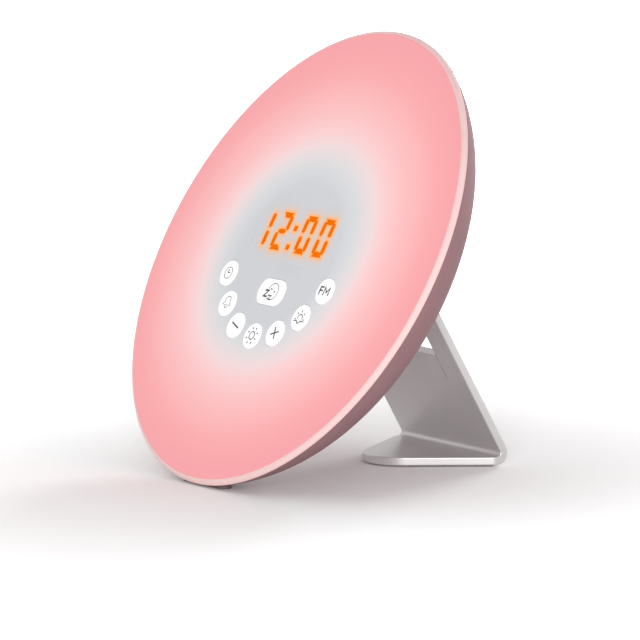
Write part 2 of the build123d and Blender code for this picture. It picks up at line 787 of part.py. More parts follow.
with BuildPart() as dc_jack:
    with BuildSketch(lamp.offset(-board_back)):
        with Locations(jack_place):
            Rectangle(jack_body, jack_body)
    extrude(amount=board_back - floor_depth)
    with BuildSketch(lamp.offset(-floor_depth)):
        with Locations(jack_place):
            Circle(jack_nose)
    extrude(amount=floor_depth - back_depth + neck_gap)
    with BuildSketch(lamp.offset(-back_depth)):
        with Locations(jack_place):
            Circle(jack_bore)
            Circle(jack_pin, mode=Mode.SUBTRACT)
    extrude(amount=back_depth - board_back - jack_end, mode=Mode.SUBTRACT)
keep(dc_jack.part, "dc_jack")

with BuildPart() as antenna_grommet:
    with BuildSketch(lamp.offset(-back_depth)):
        with Locations(grommet_place):
            Circle(grommet_radius)
    extrude(amount=housing_wall)
    with BuildSketch(lamp.offset(-floor_depth)):
        with Locations(grommet_place):
            Circle(grommet_radius + grommet_flange)
    extrude(amount=grommet_flange)
    with BuildSketch(lamp.offset(-back_depth)):
        with Locations(grommet_place):
            Circle(aerial_bore)
    extrude(amount=housing_wall + grommet_flange, mode=Mode.SUBTRACT)
keep(antenna_grommet.part, "antenna_grommet")

reset_tip = board_back + switch_rise - reset_travel - switch_gap
with BuildPart() as reset_button:
    with BuildSketch(lamp.offset(reset_sunk - back_depth)):
        with Locations(reset_place):
            Circle(reset_radius)
    extrude(amount=housing_wall - reset_sunk)
    with BuildSketch(lamp.offset(-floor_depth)):
        with Locations(reset_place):
            Circle(reset_radius + reset_flange)
    extrude(amount=reset_flange)
    with BuildSketch(lamp.offset(reset_flange - floor_depth)):
        with Locations(reset_place):
            Circle(reset_stem)
    extrude(amount=floor_depth - reset_flange - reset_tip)
keep(reset_button.part, "reset_button")

# ---------------------------------------------------------------- clock battery and its cap

holder_end = floor_depth - lug_reach
with BuildPart() as cell_holder:
    with BuildSketch(lamp.offset(-board_back)):
        with Locations(cell_place):
            Circle(cell_radius + holder_gap + holder_wall)
            Circle(cell_radius + holder_gap, mode=Mode.SUBTRACT)
    extrude(amount=board_back - holder_end)
keep(cell_holder.part, "cell_holder")

with BuildPart() as backup_cell:
    with BuildSketch(lamp.offset(-cell_top)):
        with Locations(cell_place):
            Circle(cell_radius)
    extrude(amount=-cell_thick)
    fillet(backup_cell.faces().sort_by(lamp_axis)[-1].edges(), cell_thick / 6)
keep(backup_cell.part, "backup_cell")

# a bowed leaf under the battery, and a clip at its side
with BuildPart() as cell_contacts:
    with BuildSketch(profile.offset(cell_place[0] - contact_width / 2)):
        with BuildLine():
            ThreePointArc((cell_place[1] - cell_radius / 2, -board_back - contact_sheet / 2),
                          (cell_place[1], contact_sheet / 2 - cell_top),
                          (cell_place[1] + cell_radius / 2, -board_back - contact_sheet / 2))
        trace(line_width=contact_sheet)
    extrude(amount=contact_width)
    with BuildSketch(lamp.offset(-board_back)):
        with Locations((cell_place[0] - cell_radius - contact_sheet / 2, cell_place[1])):
            Rectangle(contact_sheet, contact_width)
    extrude(amount=board_back - cell_bottom)
keep(cell_contacts.part, "cell_contacts")

with BuildPart() as battery_cap:
    with BuildSketch(lamp.offset(-back_depth)):
        with Locations(cell_place):
            Circle(cap_radius)
    extrude(amount=cap_lip)
    with BuildSketch(lamp.offset(cap_lip - back_depth)):
        with Locations(cell_place):
            Circle(neck_radius)
    extrude(amount=back_depth - cap_lip - cap_inner)
    with BuildSketch(lamp.offset(neck_gap - floor_depth)):
        with Locations(cell_place):
            with PolarLocations(neck_radius, 2):
                Rectangle(2 * lug_reach, neck_radius * radians(lug_angle))
    extrude(amount=lug_thick)
    with BuildSketch(lamp.offset(-back_depth)):
        with Locations(cell_place):
            SlotOverall(*coin_slot)
    extrude(amount=cap_lip, mode=Mode.SUBTRACT)
keep(battery_cap.part, "battery_cap")

# ---------------------------------------------------------------- loudspeaker

plate_back = speaker_front - speaker_plate
basket_back = plate_back - cone_depth
magnet_back = basket_back - speaker_plate
with BuildPart() as speaker_gasket:
    with BuildSketch(speaker.offset(speaker_seat - floor_depth)):
        Circle(speaker_bore + seat_width)
        Circle(speaker_bore, mode=Mode.SUBTRACT)
    extrude(amount=gasket_sheet)
keep(speaker_gasket.part, "speaker_gasket")

with BuildPart() as speaker_frame:
    with BuildSketch(speaker.offset(-speaker_front)):
        RectangleRounded(speaker_side, speaker_side, speaker_corner)
        Circle(speaker_bore, mode=Mode.SUBTRACT)
        with Locations(*speaker_corners):
            Circle(small_screw, mode=Mode.SUBTRACT)
    extrude(amount=speaker_plate)
    # basket: a drum on the plate, closed by a floor that carries the magnet
    with BuildSketch(speaker.offset(-plate_back)):
        Circle(speaker_bore + basket_wall)
        Circle(speaker_bore, mode=Mode.SUBTRACT)
    extrude(amount=cone_depth)
    with BuildSketch(speaker.offset(-basket_back)):
        Circle(speaker_bore + basket_wall)
        Circle(coil_radius + magnet_gap, mode=Mode.SUBTRACT)
    extrude(amount=speaker_plate)
keep(speaker_frame.part, "speaker_frame")

with BuildPart() as speaker_magnet:
    with BuildSketch(speaker.offset(-magnet_back)):
        Circle(magnet_radius)
    extrude(amount=magnet_depth)
    with BuildSketch(speaker.offset(-magnet_back)):
        Circle(coil_radius + magnet_gap)
    extrude(amount=magnet_depth - magnet_cap, mode=Mode.SUBTRACT)
keep(speaker_magnet.part, "speaker_magnet")

# shallow cone with its coil tube, free to move between the magnet and the grille
cone_edge = speaker_front - cone_sunk
cone_neck = basket_back + 2 * cone_stroke
coil_end = magnet_back - magnet_depth + magnet_cap + 2 * cone_stroke
with BuildPart() as speaker_cone:
    with BuildSketch(speaker_meridian):
        with BuildLine():
            Polyline((coil_radius - cone_wall, -cone_neck), (cone_radius, -cone_edge),
                     (cone_radius, cone_wall - cone_edge), (coil_radius, cone_wall - cone_neck),
                     (coil_radius, -coil_end), (coil_radius - cone_wall, -coil_end), close=True)
        make_face()
    revolve(axis=speaker_axis)
    with BuildSketch(speaker.offset(-cone_neck)):
        Circle(coil_radius)
    extrude(amount=cone_wall)
keep(speaker_cone.part, "speaker_cone")

with BuildPart() as speaker_surround:
    with BuildSketch(speaker_meridian):
        with BuildLine():
            ThreePointArc((cone_radius - surround_lap, -cone_edge - surround_wall / 2),
                          (cone_radius + surround_width / 2, -cone_edge - surround_roll),
                          (speaker_bore - wall_gap, -cone_edge - surround_wall / 2))
        trace(line_width=surround_wall)
    revolve(axis=speaker_axis)
keep(speaker_surround.part, "speaker_surround")

with BuildPart() as speaker_screws:
    with BuildSketch(speaker.offset(-floor_depth)):
        with Locations(*speaker_corners):
            Circle(small_screw)
    extrude(amount=floor_depth - plate_back)
    with BuildSketch(speaker.offset(-plate_back)):
        with Locations(*speaker_corners):
            Circle(small_head)
    extrude(amount=head_rise)
keep(speaker_screws.part, "speaker_screws")

# ---------------------------------------------------------------- leads between the boards

connector_width, connector_length, connector_rise = connector
ribbon_high = ledge_inner - ribbon_inset - connector_length / 2
ribbon_low = ribbon_high - ribbon_step
with BuildPart() as ribbon_connectors:
    with BuildSketch(lamp.offset(-key_board_back)):
        with Locations((0, ribbon_high)):
            Rectangle(connector_width, connector_length)
    extrude(amount=-connector_rise)
    with BuildSketch(lamp.offset(-main_depth)):
        with Locations((0, ribbon_low)):
            Rectangle(connector_width, connector_length)
    extrude(amount=connector_rise)
keep(ribbon_connectors.part, "ribbon_connectors")

ribbon_start = (ribbon_high - connector_length / 2, -key_board_back - connector_rise / 2)
ribbon_end = (ribbon_low + connector_length / 2, connector_rise / 2 - main_depth)
ribbon_bend = ribbon_curl * (ribbon_start[1] - ribbon_end[1])
ribbon_fold = ribbon_end[0] + ribbon_bend + ribbon_end_run
with BuildPart() as key_ribbon:
    with BuildSketch(profile.offset(-ribbon_width / 2)):
        with BuildLine():
            FilletPolyline(ribbon_start, (ribbon_fold, ribbon_start[1]), (ribbon_fold, ribbon_end[1]),
                           ribbon_end, radius=ribbon_bend)
        trace(line_width=ribbon_thick)
    extrude(amount=ribbon_width)
keep(key_ribbon.part, "key_ribbon")

lead_run = main_depth - 1.5 * lead_bend
lead_landing = main_top - lead_inset
with BuildPart() as led_lead:
    with BuildLine(profile):
        FilletPolyline((lead_hole, -chamber_depth), (lead_hole, -lead_run), (lead_landing, -lead_run),
                       (lead_landing, -main_depth), radius=lead_bend)
    with BuildSketch(lamp.offset(-chamber_depth)):
        with Locations((0, lead_hole)):
            Circle(lead_radius)
    sweep()
keep(led_lead.part, "led_lead")

speaker_tab = speaker_height + speaker_side / 2 - tab_inset
board_edge = speaker_height + speaker_side / 2 + board_clearance
speaker_landing = board_edge + lead_inset
with BuildPart() as speaker_lead:
    with BuildLine(profile.offset(lead_side)):
        FilletPolyline((speaker_tab, -plate_back), (speaker_tab, lead_rise - main_depth),
                       (speaker_landing, lead_rise - main_depth), (speaker_landing, -main_depth),
                       radius=lead_bend)
    with BuildSketch(lamp.offset(-plate_back)):
        with Locations((lead_side, speaker_tab)):
            Circle(lead_radius)
    sweep()
keep(speaker_lead.part, "speaker_lead")

# ---------------------------------------------------------------- stand

half_sheet = sheet / 2
flange_middle = flange_rear - half_sheet
bend_slip = half_sheet / tan(radians(180 - lean_back - stand_lean) / 2)
heel_slip = half_sheet / tan(radians(90 - stand_lean) / 2)


def behind(height, depth):
    """Point of the stand's side view that lies up the lamp's back by height, at a depth."""
    return (height * sin(tilt) + depth * cos(tilt), lamp_height + height * cos(tilt) - depth * sin(tilt))


# outline of the tongue: a round nose with straight flanks out to the heel's full width
with BuildSketch() as tongue:
    with Locations((0, lamp_y + tip_y + nose_radius)):
        Circle(nose_radius)
    with Locations(*[(sx * (stand_width / 2 - foot_corner), lamp_y + flat_y) for sx in (-1, 1)]):
        Circle(foot_corner)
    make_hull()

plate = Plane(origin=(0, lamp_y + heel_y, pad_thick), x_dir=right,
              z_dir=(0, -cos(plate_tilt), -sin(plate_tilt)))
window_top = plate_length - window_bar
with BuildPart() as stand_bracket:
    # side view, as the middle of the sheet: flange, plate down to the heel, foot forwards
    with BuildSketch(upright):
        with BuildLine():
            FilletPolyline(behind(flange_top, flange_middle),
                           behind(stand_joint - bend_slip, flange_middle),
                           (heel_y - heel_slip, pad_thick + half_sheet), (tip_y, pad_thick + half_sheet),
                           radius=bend_inside + half_sheet)
        trace(line_width=sheet)
    extrude(amount=stand_width / 2, both=True)
    with BuildSketch(Plane.XY.offset(pad_thick)):
        with Locations((0, lamp_y + (flat_y + tip_y) / 2)):
            Rectangle(2 * stand_width, flat_y - tip_y)
        add(tongue.sketch, mode=Mode.SUBTRACT)
    extrude(amount=sheet, mode=Mode.SUBTRACT)
    # window for the plugs and leads, and the slits below its corners
    with BuildSketch(plate.offset(-half_sheet)):
        with Locations((0, (window_bottom + window_top) / 2)):
            RectangleRounded(window_width, window_top - window_bottom, window_round)
        for side in (-1, 1):
            with Locations((side * (window_width - slit_width) / 2, window_bottom - slit_length / 2)):
                Rectangle(slit_width, slit_length + 2 * window_round)
    extrude(amount=2 * sheet, mode=Mode.SUBTRACT)
    outer_edges = [edge for side in (-stand_width / 2, stand_width / 2)
                   for edge in stand_bracket.edges().filter_by_position(Axis.X, side, side)]
    fillet(outer_edges, plate_edge)
keep(stand_bracket.part, "stand_bracket")

with BuildPart() as stand_pad:
    with BuildSketch():
        add(tongue.sketch)
        offset(amount=-pad_inset)
    extrude(amount=pad_thick)
keep(stand_pad.part, "stand_pad")

with BuildPart() as socket_plate:
    with BuildSketch(lamp.offset(-frame_back)):
        with Locations((0, socket_middle)):
            RectangleRounded(2 * socket_half, socket_span, socket_wall / 2)
    extrude(amount=-socket_cover)
    fillet(socket_plate.faces().sort_by(lamp_axis)[0].edges(), plate_edge)
    with BuildSketch(lamp.offset(-frame_back)):
        with Locations(*socket_screws_at):
            Circle(small_screw + hole_gap)
    extrude(amount=-socket_cover, mode=Mode.SUBTRACT)
    with BuildSketch(lamp.offset(-frame_back - socket_cover)):
        with Locations(*socket_screws_at):
            Circle(small_head + hole_gap)
    extrude(amount=head_rise, mode=Mode.SUBTRACT)
    # recess of the leaf spring
    with BuildSketch(lamp.offset(-frame_back)):
        with Locations((0, socket_middle)):
            Rectangle(spring_length + 2 * spring_play, spring_width + 2 * spring_play)
    extrude(amount=-spring_recess, mode=Mode.SUBTRACT)
keep(socket_plate.part, "socket_cover")

with BuildPart() as socket_spring:
    with BuildSketch(meridian.offset(-socket_middle)):
        with BuildLine():
            spring_foot = spring_sheet / 2 - frame_back - spring_recess
            ThreePointArc((-spring_length / 2, spring_foot), (0, spring_foot + spring_rise),
                          (spring_length / 2, spring_foot))
        trace(line_width=spring_sheet)
    extrude(amount=spring_width / 2, both=True)
keep(socket_spring.part, "socket_spring")

with BuildPart() as socket_screws:
    with BuildSketch(lamp.offset(-back_depth)):
        with Locations(*socket_screws_at):
            Circle(small_screw)
    extrude(amount=back_depth - frame_back - socket_cover + head_rise)
    with BuildSketch(lamp.offset(-frame_back - socket_cover)):
        with Locations(*socket_screws_at):
            Circle(small_head)
    extrude(amount=head_rise)
    with BuildSketch(lamp.offset(-frame_back - socket_cover)):
        with Locations(*socket_screws_at):
            Rectangle(cross_length, cross_width)
            Rectangle(cross_width, cross_length)
    extrude(amount=head_rise / 2, mode=Mode.SUBTRACT)
keep(socket_screws.part, "socket_screws")
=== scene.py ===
"""Sunrise alarm clock: finishes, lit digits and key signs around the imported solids.

Metres, +Z up, in the frame of the solids. The lamp has a frame of its own: its origin is the middle
of the rim's plane, x runs to the user's right, y up the face and z out of the face. Sizes that are
written in millimetres are multiplied by MM.
"""
import json
import math

import bmesh
import bpy
import numpy as np
from mathutils import Matrix, Vector


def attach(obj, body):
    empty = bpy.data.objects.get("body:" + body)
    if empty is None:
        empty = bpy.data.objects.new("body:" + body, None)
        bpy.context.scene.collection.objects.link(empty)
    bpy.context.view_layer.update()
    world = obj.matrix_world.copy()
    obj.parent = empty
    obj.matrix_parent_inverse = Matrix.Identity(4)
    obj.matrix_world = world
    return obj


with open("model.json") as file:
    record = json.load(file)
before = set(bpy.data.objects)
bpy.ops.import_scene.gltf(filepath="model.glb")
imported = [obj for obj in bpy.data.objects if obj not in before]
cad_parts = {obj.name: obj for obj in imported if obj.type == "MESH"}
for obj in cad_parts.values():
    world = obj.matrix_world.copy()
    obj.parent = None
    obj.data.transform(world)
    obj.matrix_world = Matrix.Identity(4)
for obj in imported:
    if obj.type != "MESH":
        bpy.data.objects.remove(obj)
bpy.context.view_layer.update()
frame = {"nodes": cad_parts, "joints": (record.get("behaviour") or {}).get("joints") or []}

MM = 0.001
WHITE = (1.0, 1.0, 1.0, 1.0)
BLACK = (0.0, 0.0, 0.0, 1.0)
scene = bpy.context.scene

# ---------------------------------------------------------------- the lamp's frame, from the solids


def vertices_of(node):
    """Vertices of a node as an array of rows (x, y, z)."""
    mesh = frame["nodes"][node].data
    flat = np.empty(3 * len(mesh.vertices))
    mesh.vertices.foreach_get("co", flat)
    return flat.reshape(-1, 3)


def joint(name):
    """A joint of the frame by its name."""
    return next(found for found in frame["joints"] if found["name"] == name)


RIGHT = np.array([1.0, 0.0, 0.0])
OUT = np.array(joint("cone_stroke")["axis"])
UP = np.cross(OUT, RIGHT)
TURN = np.array([RIGHT, UP, OUT])          # rows are the lamp's axes

ring_local = vertices_of("trim_ring") @ TURN.T
ring_low, ring_high = ring_local.min(0), ring_local.max(0)
CENTRE = TURN.T @ np.array([0.0, (ring_low[1] + ring_high[1]) / 2, ring_high[2]])


def to_lamp(points):
    """World points as lamp coordinates."""
    return (np.asarray(points) - CENTRE) @ TURN.T


def from_lamp(points):
    """Lamp coordinates as world points."""
    return np.asarray(points) @ TURN + CENTRE


face_local = to_lamp(vertices_of("front_diffuser"))
FACE_RADIUS = face_local[:, 0].max()
FACE_CROWN = face_local[:, 2].max()
DOME = (FACE_RADIUS ** 2 + FACE_CROWN ** 2) / (2 * FACE_CROWN)


def dome(x, y):
    """Height of the milky face over its rim: a sphere's cap of radius DOME and rise FACE_CROWN."""
    return np.sqrt(DOME ** 2 - x ** 2 - y ** 2) - (DOME - FACE_CROWN)


# ---------------------------------------------------------------- meshes on grids


def put(name, data):
    """A new object of the scene that holds a mesh, a light or a camera."""
    thing = bpy.data.objects.new(name, data)
    scene.collection.objects.link(thing)
    return thing


def add_piece(name, points, faces, body, material, smooth=True):
    """A mesh of points and faces that rides on a body and wears a material."""
    mesh = bpy.data.meshes.new(name)
    mesh.from_pydata(np.asarray(points).tolist(), [], faces)
    mesh.polygons.foreach_set("use_smooth", np.full(len(mesh.polygons), smooth))
    shell = bmesh.new()
    shell.from_mesh(mesh)
    bmesh.ops.recalc_face_normals(shell, faces=shell.faces)
    shell.to_mesh(mesh)
    shell.free()
    piece = put(name, mesh)
    mesh.materials.append(material)
    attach(piece, body)
    return piece


def quads(rows, columns, start=0):
    """Corner numbers of the quads of a grid, row by row, when its first point has the number start."""
    row, column = np.meshgrid(np.arange(rows - 1), np.arange(columns - 1), indexing="ij")
    first = start + row * columns + column
    return np.stack([first, first + 1, first + columns + 1, first + columns], -1).reshape(-1, 4).tolist()


def tile(top, bottom):
    """Closed tile between two grids of points: the top, the bottom turned over, and a wall round both.

    The wall follows the grid's edge: along the first row, down the last column, back along the last
    row and up the first column."""
    rows, columns = top.shape[:2]
    count = rows * columns
    number = np.arange(count).reshape(rows, columns)
    edge = np.concatenate([number[0, :-1], number[:-1, -1], number[-1, :0:-1], number[:0:-1, 0]])
    after = np.roll(edge, -1)
    wall = np.stack([edge, edge + count, after + count, after], -1)
    under = [face[::-1] for face in quads(rows, columns, count)]
    points = np.concatenate([top.reshape(-1, 3), bottom.reshape(-1, 3)])
    return points, quads(rows, columns) + under + wall.tolist()


def joined(meshes):
    """Several (points, faces) as one."""
    points, faces, start = [], [], 0
    for some_points, some_faces in meshes:
        points.append(some_points)
        faces += [[corner + start for corner in face] for face in some_faces]
        start += len(some_points)
    return np.concatenate(points), faces


# ---------------------------------------------------------------- node materials


def linear(red, green, blue):
    """A display colour, each part 0 to 255, as the linear colour that a shader takes."""
    share = np.array([red, green, blue]) / 255
    light = np.where(share <= 0.04045, share / 12.92, ((share + 0.055) / 1.055) ** 2.4)
    return (*light.tolist(), 1.0)


class Tree:
    """A node tree with short calls for what is added to it."""

    def __init__(self, tree):
        self.nodes, self.links = tree.nodes, tree.links

    def add(self, kind, inputs=None, **settings):
        """A node of some kind; inputs are values or the sockets that feed it."""
        node = self.nodes.new(kind)
        for key, value in settings.items():
            setattr(node, key, value)
        for key, value in (inputs or {}).items():
            if isinstance(value, bpy.types.NodeSocket):
                self.links.new(value, node.inputs[key])
            else:
                node.inputs[key].default_value = value
        return node

    def seen(self):
        """1 for rays from the camera, or seen in gloss or through glass, and 0 for all others."""
        path = self.add("ShaderNodeLightPath")
        total = path.outputs["Is Camera Ray"]
        for kind in ("Is Glossy Ray", "Is Transmission Ray"):
            total = self.add("ShaderNodeMath", {0: total, 1: path.outputs[kind]},
                             operation="MAXIMUM").outputs["Value"]
        return total


class Finish(Tree):
    """A Principled material that is built up in steps."""

    def __init__(self, name):
        self.material = bpy.data.materials.new(name)
        self.material.use_nodes = True
        super().__init__(self.material.node_tree)
        self.shader = self.nodes["Principled BSDF"]

    def set(self, **values):
        """Constants on the shader's own sockets; an underscore stands for a space."""
        for socket, value in values.items():
            self.shader.inputs[socket.replace("_", " ")].default_value = value
        return self

    def link(self, source, socket):
        """Feed one of the shader's sockets from a node."""
        self.links.new(source, self.shader.inputs[socket])
        return self

    def place(self):
        """Object coordinates, in metres."""
        return self.add("ShaderNodeTexCoord").outputs["Object"]

    def lamp_place(self, shift=(0, 0), stretch=(1, 1)):
        """Coordinates in the lamp's frame, in metres, about a shifted middle, divided by stretch."""
        middle = from_lamp([shift[0], shift[1], 0])
        turn = Matrix(TURN.T.tolist()).to_euler()
        return self.add("ShaderNodeMapping",
                        {"Vector": self.place(), "Location": middle, "Rotation": turn,
                         "Scale": (stretch[0], stretch[1], 1)},
                        vector_type="TEXTURE").outputs["Vector"]

    def noise(self, scale, detail=2.0, place=None, rough=0.5):
        """Cloudy values about one half, with scale patches to the metre."""
        return self.add("ShaderNodeTexNoise",
                        {"Vector": place or self.place(), "Scale": scale, "Detail": detail,
                         "Roughness": rough}).outputs["Fac"]

    def ramp(self, value, stops, smooth=False):
        """Colours, or grey values, at places from 0 to 1."""
        node = self.add("ShaderNodeValToRGB", {"Fac": value})
        node.color_ramp.interpolation = "EASE" if smooth else "LINEAR"
        while len(node.color_ramp.elements) < len(stops):
            node.color_ramp.elements.new(1.0)
        for element, (at, colour) in zip(node.color_ramp.elements, stops):
            element.position = at
            element.color = colour if hasattr(colour, "__len__") else (colour, colour, colour, 1)
        return node.outputs["Color"]

    def spread(self, value, low, high):
        """Values of a noise, from 0.3 to 0.7, spread over low to high."""
        return self.add("ShaderNodeMapRange",
                        {"Value": value, "From Min": 0.3, "From Max": 0.7, "To Min": low,
                         "To Max": high}).outputs["Result"]

    def mix(self, share, first, second):
        """Colour between two others, each of the three a value or a socket."""
        node = self.add("ShaderNodeMix", data_type="RGBA")
        for socket, value in ((node.inputs["Factor"], share), (node.inputs[6], first),
                              (node.inputs[7], second)):
            if isinstance(value, bpy.types.NodeSocket):
                self.links.new(value, socket)
            else:
                socket.default_value = value
        return node.outputs[2]

    def bump(self, height, depth, strength=1.0):
        """Relief of a height that runs from 0 to 1 over depth metres."""
        node = self.add("ShaderNodeBump", {"Height": height, "Distance": depth, "Strength": strength})
        return self.link(node.outputs["Normal"], "Normal")

    def dress(self, *nodes):
        """Put this finish on solids of the frame, by their material slots."""
        for name in nodes:
            for holder in frame["nodes"][name].material_slots:
                holder.material = self.material


MOULD_CLOUDS, PLATE_CLOUDS = 45.0, 30.0     # patches of drifting colour to the metre


def moulded(name, colour, rough, grain=2600.0, depth=0.012, drift=0.04, wander=0.08, **values):
    """Moulded plastic or rubber: its colour drifts a little over centimetres, a fine eroded grain
    stands depth millimetres proud, and the gloss wanders with that grain."""
    finish = Finish(name).set(**values)
    shade = np.array(linear(*colour)[:3])
    cloud = finish.spread(finish.noise(MOULD_CLOUDS, 3.0), 0.0, 1.0)
    speck = finish.noise(grain, 2.0)
    finish.link(finish.mix(cloud, (*shade * (1 - drift), 1), (*np.minimum(shade * (1 + drift), 1), 1)),
                "Base Color")
    finish.link(finish.spread(speck, rough - wander, rough + wander), "Roughness")
    finish.bump(speck, depth * MM, 0.6)
    return finish


def plated(name, colour, rough, grain=1800.0, depth=0.006, **values):
    """Blasted or plated metal: a fine even grain in its gloss and relief, with faint cloudy smears."""
    finish = Finish(name).set(Metallic=1.0, **values)
    shade = np.array(linear(*colour)[:3])
    cloud = finish.spread(finish.noise(PLATE_CLOUDS, 4.0, rough=0.6), 0.0, 1.0)
    speck = finish.noise(grain, 3.0)
    finish.link(finish.mix(cloud, (*shade * 0.95, 1), (*np.minimum(shade * 1.04, 1), 1)), "Base Color")
    finish.link(finish.spread(speck, rough - 0.06, rough + 0.08), "Roughness")
    finish.bump(speck, depth * MM, 0.5)
    return finish


# ---------------------------------------------------------------- the lit face

GLOW = (255, 182, 112)                      # light of the digits that spreads in the milky face
# colours at distances, in millimetres, from the middle of the light behind the face
FACE_SHADES = [(30, (209, 211, 215)), (36, (216, 218, 222)), (42, (228, 222, 223)),
               (48, (244, 219, 220)), (54, (252, 207, 208)), (60, (252, 197, 198)),
               (66, (252, 189, 190)), (72, (252, 182, 183)), (78, (251, 173, 175)),
               (84, (249, 168, 171)), (92, (247, 165, 169))]
FACE_REACH = FACE_SHADES[-1][0]
LIGHT_MIDDLE = (-2 * MM, -1 * MM)           # from the face's own middle
LIGHT_STRETCH = (1.06, 0.96)                # of its rings, across the face and up it
LIT_NEAR, LIT_FAR = 34, 56                  # distances between which the light from within sets in
LIT_FROM, LIT_TO = 0.15, 0.5                # its share of the colour before and after

lit_face = Finish("lit_face").set(Roughness=0.42, Specular_IOR_Level=0.12, Subsurface_Weight=0.0)
across = lit_face.lamp_place(LIGHT_MIDDLE, LIGHT_STRETCH)
radius = lit_face.add("ShaderNodeVectorMath", {0: across}, operation="LENGTH").outputs["Value"]
share = lit_face.add("ShaderNodeMath", {0: radius, 1: FACE_REACH * MM},
                     operation="DIVIDE").outputs["Value"]
shade = lit_face.ramp(share, [(at / FACE_REACH, linear(*colour)) for at, colour in FACE_SHADES])
within = lit_face.ramp(share, [(LIT_NEAR / FACE_REACH, LIT_FROM), (LIT_FAR / FACE_REACH, LIT_TO)],
                       smooth=True)
glow = lit_face.add("ShaderNodeAttribute", attribute_name="glow").outputs["Fac"]
shade = lit_face.mix(glow, shade, linear(*GLOW))
within = lit_face.add("ShaderNodeMath", {0: within, 1: glow},
                      operation="MAXIMUM").outputs["Value"]
lit_face.link(shade, "Emission Color").link(within, "Emission Strength")
lit_face.link(lit_face.mix(within, shade, BLACK), "Base Color")
lit_face.bump(lit_face.noise(900.0, 2.0), 0.004 * MM, 0.3)
lit_face.dress("front_diffuser")

# ---------------------------------------------------------------- finishes of the solids

# warm grey plastic ring: its pink tint and its faint pink emission are painted glow of the lit face, and
# the ring is no lamp
moulded("ring_satin_painted_glow", (216, 188, 187), 0.5, drift=0.02, Specular_IOR_Level=0.2,
        Emission_Color=linear(255, 196, 190), Emission_Strength=0.14).dress("trim_ring")
moulded("housing_satin", (160, 122, 126), 0.6, Specular_IOR_Level=0.06).dress(
    "rear_housing", "socket_cover", "battery_cap", "reset_button")
# the keys' faint white emission is painted light that lifts them to full white; the keys are no lamp
moulded("key_white_painted_glow", (252, 252, 252), 0.36, drift=0.01, depth=0.004,
        Emission_Color=WHITE, Emission_Strength=0.1).dress(
    "clock_key", "alarm_key", "minus_key", "brightness_key", "plus_key", "sunrise_key", "radio_key",
    "snooze_key")
moulded("reflector_white", (238, 238, 234), 0.3, drift=0.02).dress(
    "light_baffle", "reflector_dish", "ribbon_connectors")
moulded("moulded_black", (34, 34, 36), 0.5).dress(
    "key_switches", "display_module", "board_components", "dc_jack", "cell_holder")
moulded("feet_rubber", (104, 84, 86), 0.72, grain=1500.0, depth=0.02).dress(
    "rubber_feet", "stand_pad", "antenna_grommet")
moulded("lead_cover", (205, 205, 208), 0.45, drift=0.06).dress(
    "key_ribbon", "led_lead", "speaker_lead")
moulded("segment_orange", (255, 115, 0), 0.3, Emission_Color=linear(255, 115, 0),
        Emission_Strength=0.6).dress("display_segments")
moulded("led_cap", (250, 226, 130), 0.2, drift=0.08, depth=0.004).dress("led_packages")
moulded("foam", (30, 30, 30), 0.9, grain=1400.0, depth=0.15, wander=0.05).dress(
    "display_gasket", "speaker_gasket", "speaker_surround")
moulded("stand_satin", (200, 197, 197), 0.34, grain=900.0, depth=0.0, drift=0.02, wander=0.02,
        Metallic=0.5, Specular_IOR_Level=0.2).dress("stand_bracket")
plated("screw_plating", (172, 172, 176), 0.34).dress(
    "key_board_screws", "led_board_screws", "chassis_screws", "board_screws", "speaker_screws",
    "socket_screws")
plated("cell_nickel", (205, 205, 207), 0.24, grain=700.0).dress("backup_cell")
plated("contact_brass", (214, 180, 108), 0.3).dress("cell_contacts")
plated("spring_bright", (180, 182, 186), 0.26).dress("socket_spring")
moulded("frame_black", (36, 36, 38), 0.42, Metallic=0.4, depth=0.006).dress(
    "speaker_frame", "speaker_magnet")


def paper():
    """Pressed fibre of the loudspeaker's cone: long noise cells, stretched along the cone's axis."""
    finish = Finish("cone_paper").set(Roughness=0.88)
    lamp = finish.lamp_place(stretch=(1, 0.25))
    fibre = finish.noise(1600.0, 5.0, lamp, 0.7)
    shades = [(0.3, linear(30, 30, 33)), (0.7, linear(58, 56, 58))]
    finish.link(finish.ramp(fibre, shades), "Base Color")
    return finish.bump(fibre, 0.05 * MM, 0.8)


def board(name):
    """Circuit board: green mask over copper tracks, drawn where the edges of square cells run."""
    finish = Finish(name).set(Roughness=0.34)
    lamp = finish.lamp_place()
    cells = finish.add("ShaderNodeTexBrick",
                       {"Vector": lamp, "Scale": 1.0, "Mortar Size": 0.00035, "Mortar Smooth": 0.2,
                        "Brick Width": 0.0062, "Row Height": 0.0021, "Color1": linear(14, 84, 50),
                        "Color2": linear(20, 98, 58), "Mortar": linear(62, 138, 84)})
    finish.link(cells.outputs["Color"], "Base Color")
    return finish.bump(cells.outputs["Fac"], 0.03 * MM, 0.7)


paper().dress("speaker_cone")
board("board_mask").dress("key_board", "led_board", "main_board")

# ---------------------------------------------------------------- lit digits

ONE, TWO, ZERO_LEFT, ZERO_RIGHT = -23.15, -10.95, 6.05, 18.25    # middles of the digits, millimetres
DIGIT_UP = 7.65                        # their middle line over the face's middle
HALF_WIDTH, HALF_LENGTH = 3.3, 7.75
BAR_THICK, BAR_SHORT = 2.2, 1.85       # level strokes, and how much their inner edge falls short
POST_SIDE, POST_WIDTH = 2.85, 2.1      # upright strokes: place beside the digit's middle, and width
POST_LOW, POST_HIGH = 0.75, 6.5        # their tips, from the middle line
DASH_LENGTH, DASH_THICK = 4.8, 1.9     # middle stroke of the two
COLON = [(-2.6, 9.6), (-2.6, 1.8)]     # middles of its two dots
COLON_SIDE = (2.2, 2.1)
STROKE_LIFT, STROKE_SUNK = 0.09, 0.1   # over and under the face


